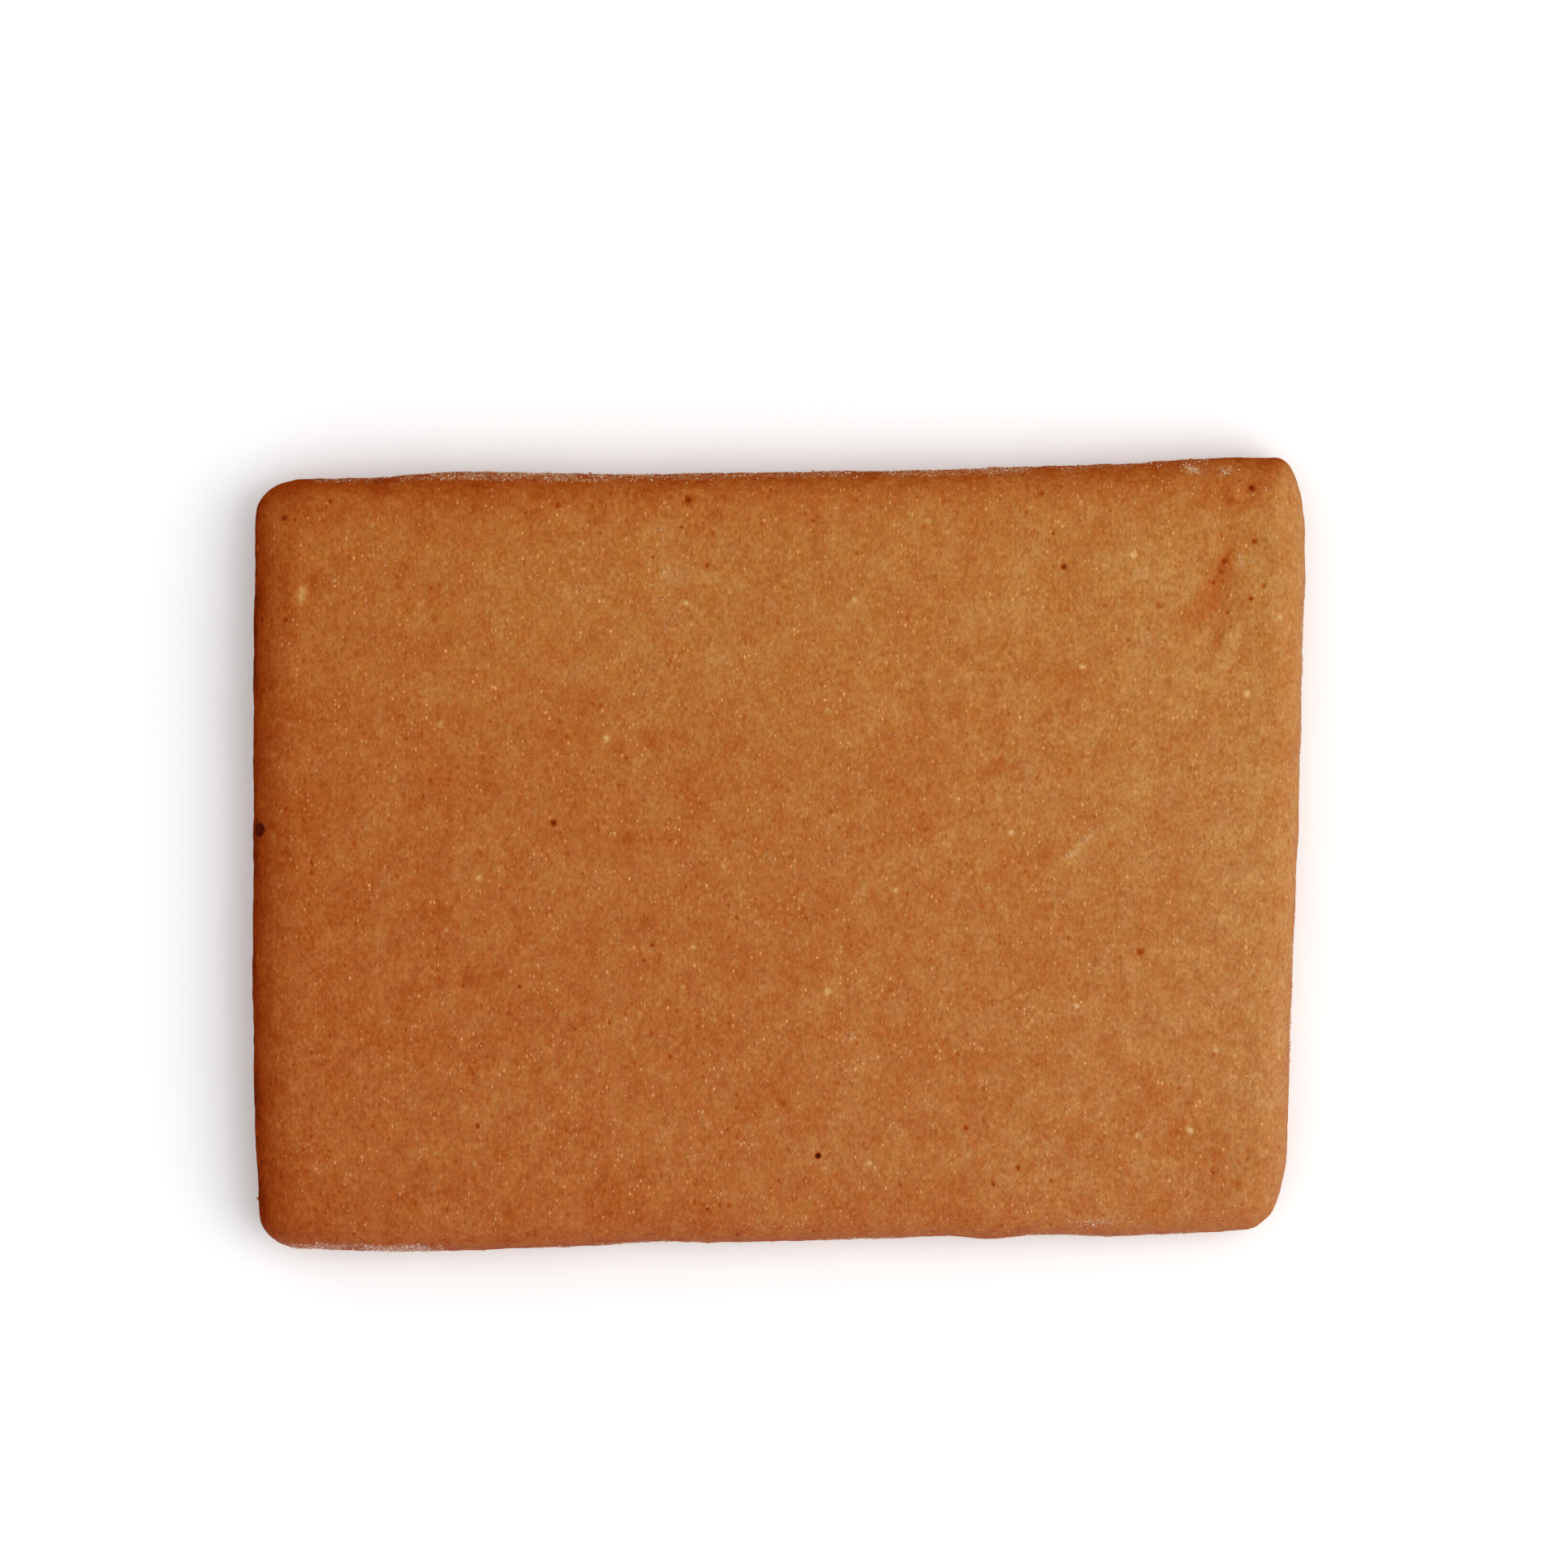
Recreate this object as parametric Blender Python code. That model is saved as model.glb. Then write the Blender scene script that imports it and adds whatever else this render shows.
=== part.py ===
"""Lebkuchen: one plain slab of baked gingerbread with rounded corners, lying on its flat underside.

+X runs along the long side, +Y along the short side and +Z up. The origin is at the middle of the
slab's footprint, on the surface that it lies on.
"""

import bmesh
import bpy
import numpy as np

NAME = "lebkuchen"
MM = 0.001

# The outline seen from above, in millimetres: a four-sided figure that the dough was cut to. Its
# corners run counter-clockwise from the one at -X -Y, and so do its sides.
CORNERS = ((-49.7, -38.0), (48.0, -35.5), (50.2, 37.2), (-49.9, 35.8))
# How far before and after each corner its rounding begins and ends, along the two sides.
ROUND_BEFORE = (3.9, 2.8, 10.3, 5.1)
ROUND_AFTER = (4.1, 8.1, 3.0, 3.7)
# Handle length of a quarter ellipse drawn as a cubic curve, as a share of its half axis.
QUARTER = 0.5523
# Soft swellings and hollows of the edge: place along the outline from the start of the first
# corner's rounding, height (below zero for a hollow) and half width.
SWELLINGS = (
    (3.0, -0.58, 8.0),
    (22.0, 0.13, 7.5),
    (40.0, -0.2, 4.5),
    (72.0, -0.66, 5.5),
    (72.0, 0.87, 4.0),
    (85.0, 0.34, 9.0),
    (98.0, -0.3, 1.0),
    (139.0, 0.19, 16.0),
    (175.0, 0.51, 9.0),
    (210.0, -0.29, 14.5),
    (232.0, -0.25, 11.5),
    (250.0, 0.29, 9.5),
    (257.0, -0.29, 3.5),
    (268.0, -0.31, 14.0),
    (313.0, 0.14, 7.0),
)

# The section, in millimetres.
THICKNESS = 8.7
WIDEST_AT = 3.2
# How far the rounded shoulder reaches in over the top from each side: -Y, +X, +Y and -X.
SHOULDER = (3.2, 3.6, 3.0, 5.0)
# The shoulder and the foot are quarter superellipses with these powers.
SHOULDER_POWER = 2.3
FOOT_POWER = 2.8
# The foot draws in under the widest line by this share of the shoulder's reach.
FOOT_SHARE = 0.28
# The roundings of the shoulder's inner line are this share of the outline's.
INNER_ROUNDING = 0.8

# The top rises to its middle by this much over a level plate.
DOME = 0.35
# Long waves of the top: the way they run in degrees from +X, wavelength, height and phase.
WAVES = (
    (12.0, 47.0, 0.10, 0.6),
    (68.0, 31.0, 0.08, 2.1),
    (128.0, 23.0, 0.06, 4.0),
    (155.0, 38.0, 0.07, 1.3),
    (40.0, 17.0, 0.03, 5.2),
)
# Dents of the top: place, depth, half length, half width and the way they run in degrees from +X.
DENTS = (
    ((41.3, 24.3), 0.42, 5.6, 1.7, 74.0),
    ((44.2, 33.2), 0.22, 2.4, 1.4, 10.0),
    ((37.0, -28.0), 0.20, 3.6, 2.2, 60.0),
    ((20.5, 8.0), 0.12, 2.6, 2.2, 0.0),
)

# The mesh: cells along and across the top, and rows down the shoulder and the foot.
CELLS_ALONG = 52
CELLS_ACROSS = 40
SHOULDER_ROWS = 7
FOOT_ROWS = 4
CURVE_STEPS = 24
SIDE_STEPS = 100

CRUST_COLOR = (0.46, 0.155, 0.04, 1.0)
CRUST_ROUGHNESS = 0.72


def clear_scene():
    for thing in list(bpy.data.objects):
        bpy.data.objects.remove(thing, do_unlink=True)


def corner_curve(start, corner, end):
    """A quarter ellipse from start to end, bulging to the corner, as a cubic curve."""
    t = np.linspace(0.0, 1.0, 2 * CURVE_STEPS, endpoint=False)[:, None]
    first = start + (corner - start) * QUARTER
    second = end + (corner - end) * QUARTER
    return (1 - t) ** 3 * start + 3 * (1 - t) ** 2 * t * first + 3 * (1 - t) * t**2 * second + t**3 * end


def rounded_figure(corners, before, after):
    """The closed line of a four-sided figure with its corners rounded, and each corner's middle."""
    t = np.linspace(0.0, 1.0, SIDE_STEPS, endpoint=False)[:, None]
    unit = [corners[(i + 1) % 4] - corners[i] for i in range(4)]
    unit = [step / np.linalg.norm(step) for step in unit]
    line = []
    for i in range(4):
        start = corners[i] - unit[i - 1] * before[i]
        end = corners[i] + unit[i] * after[i]
        following = corners[(i + 1) % 4] - unit[i] * before[(i + 1) % 4]
        line += [corner_curve(start, corners[i], end), end + (following - end) * t]
    middles = [i * (2 * CURVE_STEPS + SIDE_STEPS) + CURVE_STEPS for i in range(4)]
    return np.concatenate(line), middles


def distance_along(line):
    """How far along the closed line each of its points lies, and at the end its whole length."""
    steps = np.linalg.norm(np.roll(line, -1, axis=0) - line, axis=1)
    return np.concatenate([[0.0], np.cumsum(steps)])


def swollen(line):
    """The line moved out by the swellings, each a bell curve of the distance along the line."""
    along = distance_along(line)
    whole = along[-1]
    tangent = np.roll(line, -1, axis=0) - np.roll(line, 1, axis=0)
    tangent /= np.linalg.norm(tangent, axis=1)[:, None]
    outward = np.stack([tangent[:, 1], -tangent[:, 0]], axis=1)
    rise = np.zeros(len(line))
    for place, height, half_width in SWELLINGS:
        apart = (along[:-1] - place + whole / 2) % whole - whole / 2
        rise += height * np.exp(-((apart / half_width) ** 2))
    return line + outward * rise[:, None]


def moved_in(corners, depths):
    """The figure whose sides lie the given depths inside those of the given figure."""
    ways = np.roll(corners, -1, axis=0) - corners
    ways /= np.linalg.norm(ways, axis=1)[:, None]
    inward = np.stack([-ways[:, 1], ways[:, 0]], axis=1)
    held = (corners * inward).sum(axis=1) + np.array(depths)
    return np.array([
        np.linalg.solve(np.stack([inward[i - 1], inward[i]]), [held[i - 1], held[i]]) for i in range(4)
    ])


def spread_round(line, middles, counts):
    """Points on the line, counts[i] of them evenly from one corner's middle to the next one's."""
    along = distance_along(line)
    closed = np.concatenate([line, line[:1]])
    marks = [along[m] for m in middles] + [along[middles[0]] + along[-1]]
    places = np.concatenate([
        np.linspace(marks[i], marks[i + 1], counts[i], endpoint=False) for i in range(4)
    ]) % along[-1]
    return np.stack([np.interp(places, along, closed[:, k]) for k in range(2)], axis=1)


def rims(counts):
    """The slab's widest line and the line where its shoulder meets the top, with matching points."""
    corners = np.array(CORNERS)
    before = np.array(ROUND_BEFORE)
    after = np.array(ROUND_AFTER)
    line, middles = rounded_figure(corners, before, after)
    line = swollen(line)
    centre = (line.max(axis=0) + line.min(axis=0)) / 2
    outer = spread_round(line, middles, counts) - centre
    inner_line, middles = rounded_figure(
        moved_in(corners, SHOULDER), before * INNER_ROUNDING, after * INNER_ROUNDING
    )
    return outer, spread_round(inner_line, middles, counts) - centre


def patch(rim, counts, u, v):
    """Points inside the rim: what runs from side to side, both ways, less what the corners count twice."""
    first, second, third = np.cumsum(counts)[:3]
    closed = np.concatenate([rim, rim[:1]])
    south = closed[: first + 1]
    east = closed[first : second + 1]
    north = closed[second : third + 1][::-1]
    west = closed[third:][::-1]

    def on(side, place):
        return np.array([np.interp(place * (len(side) - 1), np.arange(len(side)), side[:, k]) for k in range(2)])

    a, b, c, d = south[0], south[-1], north[-1], north[0]
    across = (1 - v) * on(south, u) + v * on(north, u) + (1 - u) * on(west, v) + u * on(east, v)
    return across - ((1 - u) * (1 - v) * a + u * (1 - v) * b + u * v * c + (1 - u) * v * d)


def top_height(x, y):
    """Height of the top: a flat plate with a low dome, long sine waves and bell-shaped dents."""
    half_x, half_y = np.abs(np.array(CORNERS)).max(axis=0)
    z = THICKNESS + DOME * (1 - (x / half_x) ** 2) * (1 - (y / half_y) ** 2)
    for way, wavelength, height, phase in WAVES:
        forward = x * np.cos(np.radians(way)) + y * np.sin(np.radians(way))
        z = z + height * np.sin(2 * np.pi * forward / wavelength + phase)
    for (dent_x, dent_y), depth, half_length, half_width, way in DENTS:
        forward = (x - dent_x) * np.cos(np.radians(way)) + (y - dent_y) * np.sin(np.radians(way))
        sideways = (y - dent_y) * np.cos(np.radians(way)) - (x - dent_x) * np.sin(np.radians(way))
        z = z - depth * np.exp(-((forward / half_length) ** 2) - (sideways / half_width) ** 2)
    return z


def side_rows(outer, inner):
    """The rims of the side from the top down: quarter superellipses above and below the widest line."""
    rows = []
    for turn in np.linspace(0.0, np.pi / 2, SHOULDER_ROWS + 1)[1:]:
        out = np.sin(turn) ** (2 / SHOULDER_POWER)
        up = max(np.cos(turn), 0.0) ** (2 / SHOULDER_POWER)
        place = inner + (outer - inner) * out
        height = WIDEST_AT + (top_height(place[:, 0], place[:, 1]) - WIDEST_AT) * up
        rows.append(np.column_stack([place, height]))
    for turn in np.linspace(0.0, np.pi / 2, FOOT_ROWS + 1)[1:]:
        out = max(np.cos(turn), 0.0) ** (2 / FOOT_POWER)
        down = np.sin(turn) ** (2 / FOOT_POWER)
        place = outer + (inner - outer) * FOOT_SHARE * (1 - out)
        rows.append(np.column_stack([place, np.full(len(place), WIDEST_AT * (1 - down))]))
    return rows


def rim_place(u, v):
    """Which point of the rim, counted counter-clockwise from the corner at -X -Y, an edge point is."""
    column = round(u * CELLS_ALONG)
    row = round(v * CELLS_ACROSS)
    if row == 0:
        return column
    if column == CELLS_ALONG:
        return CELLS_ALONG + row
    if row == CELLS_ACROSS:
        return 2 * CELLS_ALONG + CELLS_ACROSS - column
    return 2 * (CELLS_ALONG + CELLS_ACROSS) - row


def build_slab():
    """A grid laid over the top, its rim drawn out and down row by row, and the underside closed."""
    counts = (CELLS_ALONG, CELLS_ACROSS, CELLS_ALONG, CELLS_ACROSS)
    outer, inner = rims(counts)
    bm = bmesh.new()
    place_on_rim = bm.verts.layers.int.new("place_on_rim")
    bmesh.ops.create_grid(bm, x_segments=CELLS_ALONG, y_segments=CELLS_ACROSS, size=0.5)
    for vert in bm.verts:
        u, v = vert.co.x + 0.5, vert.co.y + 0.5
        x, y = patch(inner, counts, u, v)
        if vert.is_boundary:
            vert[place_on_rim] = rim_place(u, v)
            x, y = inner[vert[place_on_rim]]
        vert.co = (x * MM, y * MM, top_height(x, y) * MM)
    rim = [edge for edge in bm.edges if edge.is_boundary]
    for row in side_rows(outer, inner):
        drawn = bmesh.ops.extrude_edge_only(bm, edges=rim)["geom"]
        for vert in (part for part in drawn if isinstance(part, bmesh.types.BMVert)):
            vert.co = row[vert[place_on_rim]] * MM
        rim = [part for part in drawn if isinstance(part, bmesh.types.BMEdge) and part.is_boundary]
    base = bmesh.ops.edgeloop_fill(bm, edges=rim)["faces"]
    bmesh.ops.poke(bm, faces=base)
    bm.verts.layers.int.remove(place_on_rim)
    bmesh.ops.recalc_face_normals(bm, faces=bm.faces)
    bmesh.ops.triangulate(bm, faces=bm.faces)
    mesh = bpy.data.meshes.new(NAME)
    bm.to_mesh(mesh)
    bm.free()
    mesh.shade_smooth()
    return mesh


def crust_material():
    material = bpy.data.materials.new("crust")
    material.use_nodes = True
    shader = material.node_tree.nodes["Principled BSDF"]
    shader.inputs["Base Color"].default_value = CRUST_COLOR
    shader.inputs["Roughness"].default_value = CRUST_ROUGHNESS
    shader.inputs["Metallic"].default_value = 0.0
    return material


def main():
    clear_scene()
    collection = bpy.data.collections.new(NAME)
    bpy.context.scene.collection.children.link(collection)
    slab = bpy.data.objects.new(NAME, build_slab())
    slab.data.materials.append(crust_material())
    collection.objects.link(slab)


main()
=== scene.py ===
"""A plain lebkuchen, seen from straight above: its baked crust, flour, sugar grains and crumbs.

Lengths are in millimetres up to the point where a mesh, a lamp or the camera is made. The slab's
own measurements repeat those of its solid, so that the dressed slab keeps the solid's form.
"""

import bmesh
import bpy
import numpy as np
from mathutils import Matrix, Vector


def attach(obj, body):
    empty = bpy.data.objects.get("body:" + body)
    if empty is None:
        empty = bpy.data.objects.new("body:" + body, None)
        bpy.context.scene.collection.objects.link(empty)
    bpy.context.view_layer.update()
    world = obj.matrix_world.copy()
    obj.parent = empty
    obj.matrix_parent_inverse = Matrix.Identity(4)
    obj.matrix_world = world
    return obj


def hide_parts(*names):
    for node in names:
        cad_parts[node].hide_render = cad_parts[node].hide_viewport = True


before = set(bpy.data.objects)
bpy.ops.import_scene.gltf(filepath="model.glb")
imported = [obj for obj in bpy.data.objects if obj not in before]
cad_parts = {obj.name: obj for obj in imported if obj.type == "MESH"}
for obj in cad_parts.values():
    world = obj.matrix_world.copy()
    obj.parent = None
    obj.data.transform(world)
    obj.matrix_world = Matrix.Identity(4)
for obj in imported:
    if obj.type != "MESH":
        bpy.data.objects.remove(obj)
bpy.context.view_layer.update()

MM = 0.001
NODE = "lebkuchen"
BODY = "root"

# The camera looks straight down. These are pixels of the photograph's square frame.
FRAME_PIXELS = 1932
SLAB_LEFT, SLAB_RIGHT = 310, 1609
SLAB_TOP, SLAB_BOTTOM = 562, 1543
SLAB_LENGTH = 100.0
PIXEL = SLAB_LENGTH / (SLAB_RIGHT - SLAB_LEFT)
SENSOR = 36.0
CAMERA_DISTANCE = 600.0
# Seen from above, the slab's edge is the line where its shoulder turns upright, at this height.
EDGE_HEIGHT = 3.6

# The outline seen from above: a four-sided figure, counter-clockwise from the corner at -X -Y.
CORNERS = ((-49.7, -38.0), (48.0, -35.5), (50.2, 37.2), (-49.9, 35.8))
# How far before and after each corner its rounding begins and ends, along the two sides.
ROUND_BEFORE = (3.9, 2.8, 10.3, 5.1)
ROUND_AFTER = (4.1, 8.1, 3.0, 3.7)
# Handle length of a quarter ellipse drawn as a cubic curve, as a share of its half axis.
QUARTER = 0.5523
# Soft swellings and hollows of the edge: place along it, height and half width.
SWELLINGS = (
    (3.0, -0.58, 8.0),
    (22.0, 0.13, 7.5),
    (40.0, -0.2, 4.5),
    (72.0, -0.66, 5.5),
    (72.0, 0.87, 4.0),
    (85.0, 0.34, 9.0),
    (98.0, -0.3, 1.0),
    (139.0, 0.19, 16.0),
    (175.0, 0.51, 9.0),
    (210.0, -0.29, 14.5),
    (232.0, -0.25, 11.5),
    (250.0, 0.29, 9.5),
    (257.0, -0.29, 3.5),
    (268.0, -0.31, 14.0),
    (313.0, 0.14, 7.0),
)
THICKNESS = 8.7
WIDEST_AT = 3.2
# How far the rounded shoulder reaches in over the top from each side: -Y, +X, +Y and -X.
SHOULDER = (3.2, 3.6, 3.0, 5.0)
# The shoulder and the foot are quarter superellipses with these powers.
SHOULDER_POWER = 2.3
FOOT_POWER = 2.8
# The foot draws in under the widest line by this share of the shoulder's reach.
FOOT_SHARE = 0.28
# The roundings of the shoulder's inner line are this share of the outline's.
INNER_ROUNDING = 0.8
# The top rises to its middle by this much over a level plate.
DOME = 0.35
# Long waves of the top: the way they run in degrees from +X, wavelength, height and phase.
WAVES = (
    (12.0, 47.0, 0.10, 0.6),
    (68.0, 31.0, 0.08, 2.1),
    (128.0, 23.0, 0.06, 4.0),
    (155.0, 38.0, 0.07, 1.3),
    (40.0, 17.0, 0.03, 5.2),
)
# Dents of the top: place, depth, half length, half width and the way they run in degrees from +X.
DENTS = (
    ((41.3, 24.3), 0.42, 5.6, 1.7, 74.0),
    ((44.2, 33.2), 0.22, 2.4, 1.4, 10.0),
    ((37.0, -28.0), 0.20, 3.6, 2.2, 60.0),
    ((20.5, 8.0), 0.12, 2.6, 2.2, 0.0),
)

# The fine mesh: cells along and across the top, twice as many as on the underside, and side rows.
CELLS_ALONG = 260
CELLS_ACROSS = 196
SHOULDER_ROWS = 16
FOOT_ROWS = 8
CURVE_STEPS = 48
SIDE_STEPS = 400
# The underside's grid ends this far inside the foot's last row.
UNDER_INSET = 0.5
# Round a hole the mesh is cut finer, as far as this many of its radii and this much more.
CUT_RADII = 1.3
CUT_MARGIN = 0.12
# The points are measured against the edge in so many lots, to save memory.
LOTS = 40

# Fine waves of the crust, over all of it and on its side alone: wavelength, height and seed.
CRUST_WAVES = ((6.5, 0.012, 11), (3.1, 0.009, 12), (1.6, 0.006, 13), (0.9, 0.004, 14))
SIDE_WAVES = ((5.0, 0.03, 15), (2.4, 0.016, 16), (1.3, 0.012, 17))
# The waves of the whole crust are longer along Y: their places there count for less.
CRUST_STRETCH = (1.0, 0.5, 1.0)
# The side is drawn in by about as much as its waves rise.
SIDE_DRAWN_IN = 0.04
# How much a point faces down, 0 to 1: underside from the second value on, not at all up to the
# first.
UNDER_FACING = (0.3, 0.9)
# Air holes of the underside: their seed, how many, how far from the middle they reach, and their
# radii.
AIR_HOLE_SEED = 31
AIR_HOLES = 70
AIR_HOLE_FIELD = (46.0, 34.0)
AIR_HOLE_LEAST = 0.5
AIR_HOLE_SPREAD = 0.9
# They rise only from what lies nearer to the floor than this.
FLOOR_GAP = 0.01

# Burnt air holes of the top that show as dark dots: place, radius and darkness.
BURNT_HOLES = (
    ((44.5, 34.5), 0.38, 0.47),
    ((-49.1, 2.35), 0.60, 0.42),
    ((-8.5, 33.4), 0.39, 0.37),
    ((-46.6, 31.7), 0.30, 0.34),
    ((-21.2, 3.0), 0.36, 0.45),
    ((26.8, 27.1), 0.28, 0.55),
    ((34.0, -9.1), 0.34, 0.38),
    ((3.7, -28.3), 0.27, 1.00),
    ((17.6, -25.7), 0.24, 0.44),
    ((22.5, -29.4), 0.20, 0.46),
    ((20.2, -31.0), 0.18, 0.37),
    ((44.4, 24.1), 0.19, 0.50),
    ((44.7, 29.5), 0.25, 0.35),
    ((41.9, 27.6), 0.27, 0.20),
    ((41.7, 26.6), 0.17, 0.26),
    ((42.2, 22.8), 0.19, 0.42),
    ((25.8, 30.2), 0.16, 0.30),
    ((24.7, 34.0), 0.29, 0.24),
    ((3.2, 31.4), 0.15, 0.40),
    ((-35.0, 10.9), 0.14, 0.25),
    ((-6.7, -33.3), 0.15, 0.48),
    ((-28.3, -25.5), 0.25, 0.37),
    ((-29.7, -12.3), 0.18, 0.28),
    ((-24.4, -12.4), 0.19, 0.37),
    ((-39.1, 8.0), 0.16, 0.22),
    ((-20.8, 32.9), 0.26, 0.31),
    ((45.6, 25.3), 0.27, 0.32),
    ((-11.8, 28.0), 0.16, 0.34),
    ((-11.9, -8.5), 0.20, 0.40),
    ((-9.2, 30.8), 0.19, 0.46),
    ((30.0, -31.6), 0.17, 0.28),
    ((35.7, 23.5), 0.34, 0.26),
    ((-6.7, 27.2), 0.24, 0.28),
    ((-0.1, 21.8), 0.18, 0.26),
)
# A hole's depth for each millimetre of its radius.
HOLE_DEPTH = 0.55
# Height counts for less in a hole's distances, so that one on the steep shoulder stays round.
HOLE_UPRIGHT = 0.5
FAR_OFF = 100.0
# Burst bubbles of the top that left a pale scar: place, radius and paleness.
PALE_SCARS = (
    ((38.7, -25.9), 0.34, 0.40),
    ((28.0, -14.2), 0.28, 0.40),
    ((-9.0, -12.4), 0.26, 0.36),
    ((-28.2, -2.2), 0.28, 0.34),
    ((-16.2, 10.9), 0.34, 0.42),
    ((21.9, 2.1), 0.27, 0.40),
    ((7.1, 24.0), 0.28, 0.38),
    ((-8.0, -8.7), 0.24, 0.36),
    ((-8.7, 23.7), 0.30, 0.36),
    ((8.5, -29.0), 0.25, 0.36),
    ((11.0, -3.3), 0.27, 0.36),
    ((41.1, -18.3), 0.27, 0.36),
    ((28.5, 17.7), 0.27, 0.36),
    ((-31.2, -7.1), 0.24, 0.34),
    ((4.6, -12.8), 0.34, 0.34),
    ((33.8, -26.4), 0.32, 0.34),
    ((33.4, 28.2), 0.32, 0.36),
    ((44.0, 15.1), 0.34, 0.34),
    ((47.1, 22.4), 0.30, 0.26),
    ((4.6, 13.5), 0.36, 0.28),
    ((14.1, 31.4), 0.36, 0.30),
    ((-31.8, 12.3), 0.36, 0.28),
)

# Tone runs from 0, scorched, over 0.58, the middle of the top, to 1, pale as raw flour.
TONE_MIDDLE = 0.587
# The tone rises to the east and north: partly uneven baking, partly painted light falling from the
# east.
TONE_EAST = 0.0024
TONE_NORTH = 0.0012
# The side's tone is darker than the top's: partly a browner crust, partly painted shade low on the
# side.
TONE_SIDE_AND_SHADE = 0.36
TONE_UNDER = 0.62
TONE_LOWEST = 0.13
# How much of the way to its darker tone, a browner crust and partly painted shade, the side goes, and
# the heights where that starts and ends.
SIDE_SHARE = 0.4
SIDE_HEIGHTS = (7.0, 3.5)
# Fine dust with a painted cool tint of shade over the south and east shoulders: its reach inwards,
# its share low on the side, and the heights between which it grows to the whole.
DUST_AND_SHADE_TINT_REACH = 0.9
DUST_AND_SHADE_TINT_LOW = 0.3
DUST_AND_SHADE_TINT_HEIGHTS = (2.0, 4.5)
# Darkening that fades inwards from each side, partly browning and partly painted shade, most on the
# west and north sides turned from the light; the east's negative entry is a painted lit rim: the way
# the side faces, strength and reach.
EDGE_BROWNING_AND_SHADE = (
    ("west", 0.16, 0.35),
    ("west", 0.31, 1.5),
    ("west", 0.08, 4.0),
    ("north", 0.12, 0.3),
    ("north", 0.37, 2.6),
    ("south", 0.15, 2.4),
    ("east", -0.05, 1.6),
)
# Patches darker or paler than the rest, some of them painted shade and light in the dents: place,
# change, half length, half width and way.
PATCHES = (
    ((-18.0, 22.0), 0.055, 20.0, 7.5, 0.0),
    ((44.5, -8.0), 0.05, 4.0, 14.0, 0.0),
    ((-30.0, -24.0), 0.04, 18.0, 9.0, 0.0),
    ((33.0, 35.2), -0.07, 15.0, 2.2, 0.0),
    ((16.0, -29.5), 0.05, 5.0, 3.0, 0.0),
    ((-44.5, -3.0), 0.03, 2.5, 8.0, 0.0),
    ((-47.3, 13.0), -0.045, 2.5, 8.0, 0.0),
    ((47.0, 34.5), -0.06, 3.0, 3.0, 0.0),
    ((45.5, 21.0), -0.03, 4.0, 4.0, 0.0),
    ((24.0, -29.5), 0.035, 10.0, 4.0, 0.0),
    ((-8.0, -29.0), 0.035, 4.0, 4.0, 0.0),
    ((-12.0, 29.0), 0.03, 18.0, 5.0, 0.0),
    ((-11.0, 16.0), 0.03, 6.0, 5.0, 0.0),
    ((-1.0, 13.0), -0.03, 4.0, 3.0, 0.0),
    ((-39.0, 27.0), 0.02, 4.0, 4.0, 0.0),
    # From here to (40.2, 33.5) the patches lie along the dents: the darker ones painted shade in
    # their hollows, the paler ones painted light on their lit walls.
    ((42.0, 27.7), -0.26, 1.7, 0.45, 64.0),
    ((41.1, 24.6), -0.26, 3.4, 1.4, 66.0),
    ((38.8, 22.6), -0.12, 2.2, 1.1, 52.0),
    ((41.3, 20.1), -0.24, 1.4, 0.35, 74.0),
    ((42.7, 20.3), 0.18, 1.8, 0.6, 76.0),
    ((43.8, 27.4), 0.07, 1.6, 0.9, 70.0),
    ((43.7, 33.1), -0.18, 2.2, 0.8, 6.0),
    ((42.4, 33.5), -0.22, 0.9, 0.35, 95.0),
    ((40.2, 33.5), -0.08, 1.8, 0.8, 5.0),
    # Painted shade in the dent at (20.5, 8.0).
    ((20.2, 8.0), -0.22, 1.1, 0.8, 30.0),
    ((8.5, -4.2), -0.15, 1.0, 0.6, 20.0),
    ((2.3, -10.4), -0.04, 3.4, 2.4, 40.0),
    ((0.2, -23.2), -0.14, 1.4, 0.5, -40.0),
    ((-1.3, -21.6), -0.06, 2.2, 0.6, -40.0),
    ((27.8, 0.1), 0.17, 2.2, 0.45, 38.0),
    # Painted shade in the dent at (37.0, -28.0).
    ((37.3, -26.1), -0.20, 1.2, 0.6, 60.0),
    ((41.2, -28.7), -0.04, 2.4, 2.4, 0.0),
    ((-43.9, 25.4), -0.16, 1.1, 0.6, 80.0),
    ((-46.1, 28.0), -0.08, 4.0, 1.0, 90.0),
    ((-43.5, 2.5), -0.08, 3.6, 0.8, 105.0),
    ((-42.7, -12.7), -0.05, 4.0, 1.0, 90.0),
    ((-38.5, -3.6), 0.04, 6.0, 3.0, 90.0),
    ((-37.4, 29.0), 0.03, 6.0, 4.0, 0.0),
    ((-38.5, -27.5), 0.03, 5.0, 2.2, 80.0),
    ((-37.0, 34.0), -0.14, 1.0, 0.5, 0.0),
    ((-34.2, 4.7), -0.14, 0.8, 0.6, 0.0),
    ((-12.1, 10.7), -0.14, 0.8, 0.6, 0.0),
    ((-14.2, 1.3), -0.14, 0.8, 0.6, 30.0),
    ((19.7, -2.1), -0.14, 0.8, 0.6, 0.0),
    ((24.9, -0.1), -0.12, 0.8, 0.5, 0.0),
    ((31.5, 28.2), 0.04, 3.4, 1.2, 15.0),
    ((38.5, -18.8), 0.04, 3.4, 1.0, 0.0),
    ((21.9, 8.9), 0.13, 0.7, 0.5, 0.0),
    ((-2.5, 22.8), 0.12, 0.6, 0.6, 0.0),
    ((-44.7, 24.9), 0.30, 0.9, 0.35, 80.0),
    ((-45.1, 24.1), 0.42, 0.7, 0.42, 60.0),
)
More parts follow.
